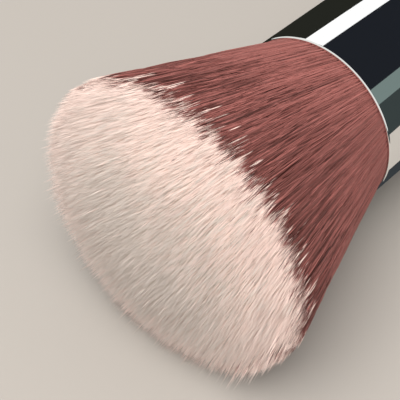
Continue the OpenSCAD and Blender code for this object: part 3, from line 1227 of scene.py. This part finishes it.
    def tip_paths(self, lie: Lie, rng: np.random.Generator) -> tuple[np.ndarray, ...]:
        """Works out the filaments that end on the shoulder and the tip face, spread evenly over both.

        Each runs straight on along the bundle's flare and ends near the dome. Towards the shoulder they are
        finer and end more unevenly, so that more of their length shows, and right at it they are longer. A
        tip is drawn towards the middle of its group. A few stray ones stand out, most of them where the tuft
        is frayed.

        Args:
            lie: How the brush lies.
            rng: Random numbers.

        Returns:
            Paths, radii, columns, heights on the map, and nap.
        """
        narrowing = np.array([1, 0.85])
        n, k = self.tip_count, len(narrowing) + 1
        at_rim = rng.uniform(0, 1, n) < self.rim_share
        share = np.where(at_rim, 1 - (1 - self.rim_from) * rng.uniform(0, 1, n) ** 1.2,
                         np.sqrt(rng.uniform(0, 1, n)))
        turn = rng.uniform(0, 2 * math.pi, n)
        edge_r = self.shoulder_r + self.swell
        x, y = share * edge_r * np.cos(turn), share * edge_r * np.sin(turn)
        outer = sleek((share - self.face_share) / (1 - self.face_share))
        ragged = sleek((share - self.face_share) / 0.25) * (1 - 0.8 * sleek((share - 0.9) / 0.1))
        to_x, to_y, trait = Clumps(self.tip_group_w, self.seed + Draw.TIP_GROUP).find(x, y)
        lump = value_noise(x, y, self.lump_w, self.seed + Draw.LUMP) * self.lump_rise
        depth = self.face_depth + (self.rim_depth - self.face_depth) * ragged
        at_side = sleek((share - 0.9) / 0.08)
        depth = depth * (1 - 0.4 * at_side)
        slide = self.tip_reach + self.tip_uneven * trait[:, 0] * (1 - 0.7 * outer)
        slide = slide - 2 * depth * rng.uniform(0, 1, n) ** 1.6
        fray = at_side * sleek((np.cos(turn - self.fray_at) - 0.8) / 0.2)
        stray = rng.uniform(self.stray_least, self.stray_most, n) * (1 + 1.5 * fray)
        stray = stray * (rng.uniform(0, 1, n) < self.stray_share * (1 + 2 * at_side + 3 * fray))
        slide = slide + stray
        tip_s = self.dome(np.clip(share - 0.004, 0, 1)) + lump + slide + self.side_tip_rise * at_side
        length = (self.tip_len + 2 * depth) * rng.uniform(0.85, 1.15, n)
        length = length + at_side * rng.uniform(0, self.side_tip_len, n)
        step = np.linspace(0, 1, k)
        s = tip_s[:, None] - length[:, None] * (1 - step)
        shrink = self.side_r(s) / self.side_r(tip_s)[:, None]
        drawn = 0.25 - 0.2 * outer
        calm = 1 - 0.6 * outer
        lean = rng.normal(0, self.tip_lean, (2, n)) * calm + self.group_lean * trait[:, 1:3].T * calm
        pull = step ** 2
        px = x[:, None] * shrink + pull * (drawn * to_x + lean[0])[:, None]
        py = y[:, None] * shrink + pull * (drawn * to_y + lean[1])[:, None]
        arc = turn[:, None] * self.shoulder_r + 0 * s
        rise = self.relief(arc, s) * outer[:, None] - self.tip_sink * (1 - step) ** 2
        radius = np.minimum(np.hypot(px, py), self.side_r(s) + self.ledge) + rise
        streak = self.streak(arc[:, 0], tip_s)
        radius = radius + self.over * (at_side * np.clip(-streak, 0, 1))[:, None]
        paths = self.lay(lie, np.abs(radius), np.arctan2(py, px) + self.twist(s), s)
        broad = 1.7 - 0.6 * outer
        thin = self.thick * (broad * rng.uniform(0.8, 1.2, n))[:, None] * narrowing
        inner = (self.inner_cream + self.least_cream) * sleek((1 - share) / 0.06)
        creamy = self.side_len - self.cream - self.outer_cream + inner
        run = self.height(np.maximum(s - slide[:, None], creamy[:, None]), turn[:, None])
        facing = np.stack([share * np.cos(turn) / self.shoulder_r, share * np.sin(turn) / self.shoulder_r,
                           self.way * np.sqrt(1 - share ** 2) / self.dome_rise])
        facing /= np.linalg.norm(facing, axis=0)
        facing[0] -= self.soak * sleek((share - 0.5) / 0.45)
        facing *= self.soft
        nap = lie.place(*facing) - lie.mouth
        return paths, thin, self.columns(rng, trait[:, 3], streak), run, nap

    def core(self, lie: Lie, dye: bpy.types.Material) -> bpy.types.Object:
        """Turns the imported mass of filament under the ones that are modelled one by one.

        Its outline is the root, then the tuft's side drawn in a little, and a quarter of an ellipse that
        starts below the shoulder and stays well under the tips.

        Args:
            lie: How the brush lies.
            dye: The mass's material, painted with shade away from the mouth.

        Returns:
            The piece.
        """
        sides, side_steps, dome_steps = 128, 24, 25
        side_s = np.linspace(0, self.side_len - self.under_rim, side_steps)
        side_r = self.side_r(side_s) - self.under * np.clip(side_s / self.under_len, 0.12, 1)
        turn = np.linspace(0, math.pi / 2, dome_steps + 1)[1:]
        rise = self.dome_rise + self.under_rim - self.under_tips
        dome_r = np.maximum(side_r[-1] * np.cos(turn), NEAR_AXIS)
        dome = np.stack([dome_r, side_s[-1] + rise * np.sin(turn)], 1)
        ring = np.concatenate([[[NEAR_AXIS, -self.root_len], [self.root_r, -self.root_len]],
                               np.stack([side_r, side_s], 1), dome])
        turn = np.arange(sides) * 2 * math.pi / sides
        along = np.repeat(ring[:, 1:], sides, 1)
        points = self.lay(lie, ring[:, :1], turn[None], along).reshape(-1, 3)
        i, j = np.meshgrid(np.arange(len(ring)), np.arange(sides), indexing="ij")
        after, beside = (i + 1) % len(ring), (j + 1) % sides
        faces = np.stack([i * sides + j, i * sides + beside, after * sides + beside, after * sides + j], -1)
        faces = faces if self.way > 0 else faces[..., ::-1]
        piece = mesh_object(self.node + "_core", points, faces.reshape(-1, 4))
        return seat(piece, self.node, dye)

    def build(self, lie: Lie, strand_dye_and_light: bpy.types.Material, core_dye_and_shade: bpy.types.Material
              ) -> list[bpy.types.Object]:
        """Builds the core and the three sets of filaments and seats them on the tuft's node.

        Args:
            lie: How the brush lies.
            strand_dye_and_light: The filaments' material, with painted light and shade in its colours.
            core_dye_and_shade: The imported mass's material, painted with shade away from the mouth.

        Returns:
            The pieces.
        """
        pieces = [self.core(lie, core_dye_and_shade)]
        rng = np.random.default_rng(self.seed)
        for label, paths in (("whole", self.whole_paths), ("stretch", self.stretch_paths),
                             ("tips", self.tip_paths)):
            arrays = paths(lie, rng)
            parts = math.ceil(len(arrays[0]) / self.part_size)
            for part in range(parts):
                piece = fibres(f"{self.node}_{label}_{part + 1}", *(a[part::parts] for a in arrays),
                               seed=self.seed + part)
                pieces.append(seat(piece, self.node, strand_dye_and_light))
        return pieces


@dataclass(frozen=True)
class Camera:
    """Where the photograph was taken from.

    Attributes:
        lens_px: Focal length, in pixels of the square picture.
        picture_px: Width of the picture.
        heading: Direction that the camera looks in, as degrees from +X towards +Y.
        elevation: Degrees that it looks down.
        distance: Distance from the camera's plane to the large ferrule's mouth.
        mouth_px: Where the mouth's centre shows.
        sensor: Width of the camera's sensor, in its own units.
        nearest: Distance at which the camera starts to see.
    """

    lens_px: float = 1198.0
    picture_px: float = 400.0
    heading: float = -138.0
    elevation: float = 48.3
    distance: float = 147.8 * MM
    mouth_px: tuple[float, float] = (312.9, 121.6)
    sensor: float = 36.0
    nearest: float = 5 * MM

    def build(self, lie: Lie) -> bpy.types.Object:
        """Sets the camera up so that the mouth shows at its pixel.

        Args:
            lie: How the brush lies.

        Returns:
            The camera.
        """
        turn, dip = math.radians(self.heading), math.radians(self.elevation)
        flat = np.array([math.cos(turn), math.sin(turn), 0.0])
        right = np.array([math.sin(turn), -math.cos(turn), 0.0])
        forward = flat * math.cos(dip) - np.array([0, 0, math.sin(dip)])
        up = flat * math.sin(dip) + np.array([0, 0, math.cos(dip)])
        half = self.picture_px / 2
        off = (np.array(self.mouth_px) - half) / self.lens_px * self.distance
        place = lie.mouth - forward * self.distance - right * off[0] + up * off[1]
        data = bpy.data.cameras.new("photo_camera")
        data.sensor_width = self.sensor
        data.lens = self.sensor * self.lens_px / self.picture_px
        data.clip_start = self.nearest
        camera = bpy.data.objects.new("photo_camera", data)
        columns = np.stack([right, up, -forward], 1)
        matrix = np.eye(4)
        matrix[:3, :3], matrix[:3, 3] = columns, place
        camera.matrix_world = Matrix(matrix.tolist())
        bpy.context.scene.collection.objects.link(camera)
        bpy.context.scene.camera = camera
        return camera


@dataclass(frozen=True)
class Band:
    """One band of painted reflection in the studio: a colour that only shiny surfaces show and that lights
    nothing.

    Attributes:
        start: Where it starts, as degrees over the brush from the camera's side.
        colour: Its colour.
    """

    start: float
    colour: tuple


@dataclass(frozen=True)
class Studio:
    """The floor, the lamp, and the painted reflections round the brush, among them a painted shadow.

    Attributes:
        floor: Colour of the floor.
        fill: Colour of the soft light from all round.
        fill_strength: Its strength.
        bands: Painted reflections beside the brush, in order of their start: colours that only shiny
            surfaces see and that light nothing; the near-white one is a painted highlight of a strip lamp.
        front: Colour of the painted reflection in front of the brush.
        front_from: Cosine of the angle to the axis at which that painted reflection ends.
        dark: Colour of the card on the far side: a painted reflection of dark surroundings, which only shiny
            surfaces see.
        dark_from: Distance from the axis at which it starts.
        green: Colour of the card on the near side: a painted reflection of dark surroundings, which only
            shiny surfaces see.
        green_from: Distance from the axis at which it starts.
        reach: Distance to which these two reach.
        shadow_reflection: Colour of the card under the brush: painted shadow, a dark patch that shiny
            surfaces show where the brush shades the floor under it.
        shadow_reflection_edges: Where its two edges lie beside the axis.
        lamp_at: Where the lamp hangs.
        lamp_aim: How far in front of the mouth it aims.
        lamp_w: Its width.
        lamp_power: Its power in watts.
    """

    floor: tuple = rgba(162, 156, 149)
    fill: tuple = (1.0, 0.985, 0.97, 1.0)
    fill_strength: float = 0.7
    # Painted reflections that only glossy rays see; the near-white band is a painted highlight of a strip
    # lamp.
    bands: tuple[Band, ...] = (
        Band(-180.0, rgba(38, 39, 34)),
        Band(-90.0, rgba(58, 66, 66)),
        Band(26.4, rgba(118, 134, 131)),
        Band(45.8, rgba(31, 34, 40)),
        Band(124.6, (1.08, 1.08, 1.08, 1.0)),
        Band(149.8, rgba(38, 39, 34)),
    )
    front: tuple = rgba(236, 236, 232)
    front_from: float = -0.3
    # Painted reflections of dark surroundings, on cards that only shiny surfaces see.
    dark: tuple = rgba(38, 39, 34)
    dark_from: float = 25 * MM
    green: tuple = rgba(58, 66, 66)
    green_from: float = 84 * MM
    reach: float = 1.6
    # Painted shadow: the dark card under the brush that shiny surfaces show where the brush shades the floor.
    shadow_reflection: tuple = rgba(57, 61, 64)
    shadow_reflection_edges: tuple[float, float] = (-10 * MM, 18 * MM)
    lamp_at: tuple[float, float, float] = (0.30, 0.09, 0.55)
    lamp_aim: float = 10 * MM
    lamp_w: float = 0.5
    lamp_power: float = 5.25

    def world(self, lie: Lie) -> None:
        """Wires the world: soft white light, and for shiny surfaces painted reflections that run along the
        brush and light nothing.

        Args:
            lie: How the brush lies.
        """
        world = bpy.data.worlds.new("studio")
        bpy.context.scene.world = world
        world.use_nodes = True
        wire = Nodes(world.node_tree)
        way = wire.add("ShaderNodeTexCoord").outputs["Generated"]
        up, near = (wire.add("ShaderNodeVectorMath", {0: way, 1: tuple(axis)},
                             operation="DOT_PRODUCT").outputs["Value"] for axis in (-lie.down, lie.across))
        over = wire.math("MULTIPLY_ADD", wire.math("ARCTAN2", up, near), 1 / (2 * math.pi), 0.5)
        ramp = wire.add("ShaderNodeValToRGB", {0: over})
        ramp.color_ramp.interpolation = "CONSTANT"
        stops = ramp.color_ramp.elements
        stops.remove(stops[-1])
        stops[0].position, stops[0].color = 0.0, self.bands[0].colour
        for band in self.bands[1:]:
            stops.new(band.start / 360 + 0.5).color = band.colour
        front = wire.add("ShaderNodeVectorMath", {0: way, 1: tuple(lie.along)}, operation="DOT_PRODUCT")
        ahead = wire.math("GREATER_THAN", front.outputs["Value"], self.front_from)
        shown = wire.mix(ahead, ramp.outputs[0], self.front)
        light = wire.add("ShaderNodeLightPath").outputs
        soft = wire.add("ShaderNodeBackground", {"Color": self.fill, "Strength": self.fill_strength})
        # Painted reflections: glossy rays see these bands, every other ray sees the soft white light.
        painted_reflections = wire.add("ShaderNodeBackground", {"Color": shown, "Strength": 1.0})
        lit = wire.add("ShaderNodeMixShader", {0: light["Is Glossy Ray"], 1: soft.outputs[0],
                                               2: painted_reflections.outputs[0]})
        wire.add("ShaderNodeOutputWorld", {0: lit.outputs[0]})

    def ground(self) -> None:
        """Lays the plain pale floor."""
        half, below = 1.5, -0.05 * MM
        points = np.array([[-half, -half, below], [half, -half, below],
                           [half, half, below], [-half, half, below]])
        floor = mesh_object("floor", points, np.array([[0, 1, 2, 3]]))
        material, wire = new_material("floor_paper")
        wire.finish({"Base Color": self.floor, "Roughness": 0.9, "Specular IOR Level": 0.0})
        floor.data.materials.append(material)

    def card(self, name: str, near: float, far: float, colour: tuple) -> None:
        """Lays a card beside the brush that only the polished metal shows: a painted reflection, which glows
        in its colour for glossy rays and is seen by no other ray.

        Args:
            name: Its name.
            near: Distance of its near edge from the brush's axis, to the side.
            far: Distance of its far edge.
            colour: Its colour.
        """
        half, lift = self.reach, 0.3 * MM
        points = np.array([[-half, near, lift], [half, near, lift], [half, far, lift], [-half, far, lift]])
        card = mesh_object(name, points, np.array([[0, 1, 2, 3]]))
        material, wire = new_material(name + "_paper")
        shader = wire.add("ShaderNodeEmission", {"Color": colour, "Strength": 1.0})
        wire.add("ShaderNodeOutputMaterial", {0: shader.outputs[0]})
        card.data.materials.append(material)
        card.visible_camera = card.visible_diffuse = card.visible_transmission = False
        card.visible_volume_scatter = card.visible_shadow = False

    def lamp(self, target: np.ndarray) -> None:
        """Hangs one soft square lamp that faces the target.

        Args:
            target: What it faces.
        """
        data = bpy.data.lights.new("key", "AREA")
        data.size = self.lamp_w
        data.energy = self.lamp_power
        lamp = bpy.data.objects.new("key", data)
        away = np.array(self.lamp_at) - target
        away /= np.linalg.norm(away)
        side = np.cross([0.0, 0.0, 1.0], away)
        side /= np.linalg.norm(side)
        matrix = np.eye(4)
        matrix[:3] = np.stack([side, np.cross(away, side), away, self.lamp_at], 1)
        lamp.matrix_world = Matrix(matrix.tolist())
        lamp.visible_glossy = False
        bpy.context.scene.collection.objects.link(lamp)

    def build(self, lie: Lie) -> None:
        """Sets the studio up round the brush.

        Args:
            lie: How the brush lies.
        """
        self.world(lie)
        self.ground()
        # Painted reflections of dark surroundings on the far and near sides.
        self.card("far_reflection_card", -self.reach, -self.dark_from, self.dark)
        self.card("near_reflection_card", self.green_from, self.reach, self.green)
        # Painted shadow: a dark card that only shiny surfaces show, under the brush where it shades the
        # floor.
        self.card("painted_shadow_card", *self.shadow_reflection_edges, self.shadow_reflection)
        self.lamp(lie.mouth + lie.along * self.lamp_aim)
        bpy.context.scene.view_settings.view_transform = "Standard"


def main() -> None:
    """Builds the brush and the studio, piece by piece."""
    lip = 0.225 * MM
    lie = Lie.from_record(frame["record"], lip)
    Camera().build(lie)
    Studio().build(lie)

    metal = Mirror().material("mirror_metal")
    small_mouth = -130 * MM
    large_ferrule = Ferrule("large_ferrule", mouth=0.0, way=1, barrel_r=11.5 * MM, collar_r=7.4 * MM,
                            barrel_len=23 * MM, taper_len=8 * MM, collar_len=9 * MM)
    small_ferrule = Ferrule("small_ferrule", mouth=small_mouth, way=-1, barrel_r=6.5 * MM,
                            collar_r=5.15 * MM, barrel_len=15 * MM, taper_len=3 * MM, collar_len=8 * MM)
    for ferrule in (large_ferrule, small_ferrule):
        LOG.info("%s: %s", ferrule.node, ferrule.build(lie, metal).name)
    handle = Handle(large_ferrule, small_ferrule)
    LOG.info("handle: %s", handle.build(lie, Lacquer().material("black_lacquer")).name)

    resin = Resin().material("cast_resin")
    for node in ("large_glue_plug", "small_glue_plug"):
        frame["nodes"][node].data.materials.clear()
        frame["nodes"][node].data.materials.append(resin)

    strand_look, bundle_look = strand_group(), bundle_group(lie)
    large = Tuft("large_tuft", mouth=0.0, way=1, root_r=11.0 * MM, shoulder_r=18.75 * MM,
                 side_len=25.5 * MM, dome_rise=5.6 * MM, root_len=14 * MM, cream=0.4 * MM,
                 whole_count=2600, stretch_count=11000, tip_count=42000, face_share=0.6,
                 face_depth=0.9 * MM, rim_depth=1.5 * MM, scatter=0.42 * MM, seed=101)
    small = Tuft("small_tuft", mouth=small_mouth, way=-1, root_r=6.0 * MM, shoulder_r=8.0 * MM,
                 side_len=13 * MM, dome_rise=6.0 * MM, root_len=9 * MM, cream=2 * MM,
                 whole_count=700, stretch_count=2200, tip_count=7000, face_share=0.4,
                 face_depth=0.4 * MM, rim_depth=0.9 * MM, scatter=0.3 * MM, seed=202)
    for tuft in (large, small):
        dye = Filament(tuft.side_len - tuft.cream)
        strand_dye_and_light = dye.strands(tuft.node + "_filament", strand_look, tuft)
        mass_dye_and_shade = dye.mass(tuft.node + "_mass", bundle_look, tuft)
        for piece in tuft.build(lie, strand_dye_and_light, mass_dye_and_shade):
            LOG.info("%s: %d faces", piece.name, len(piece.data.polygons))


if __name__ == "__main__":
    logging.basicConfig(level=logging.INFO, stream=sys.stdout, format="%(message)s")
    main()
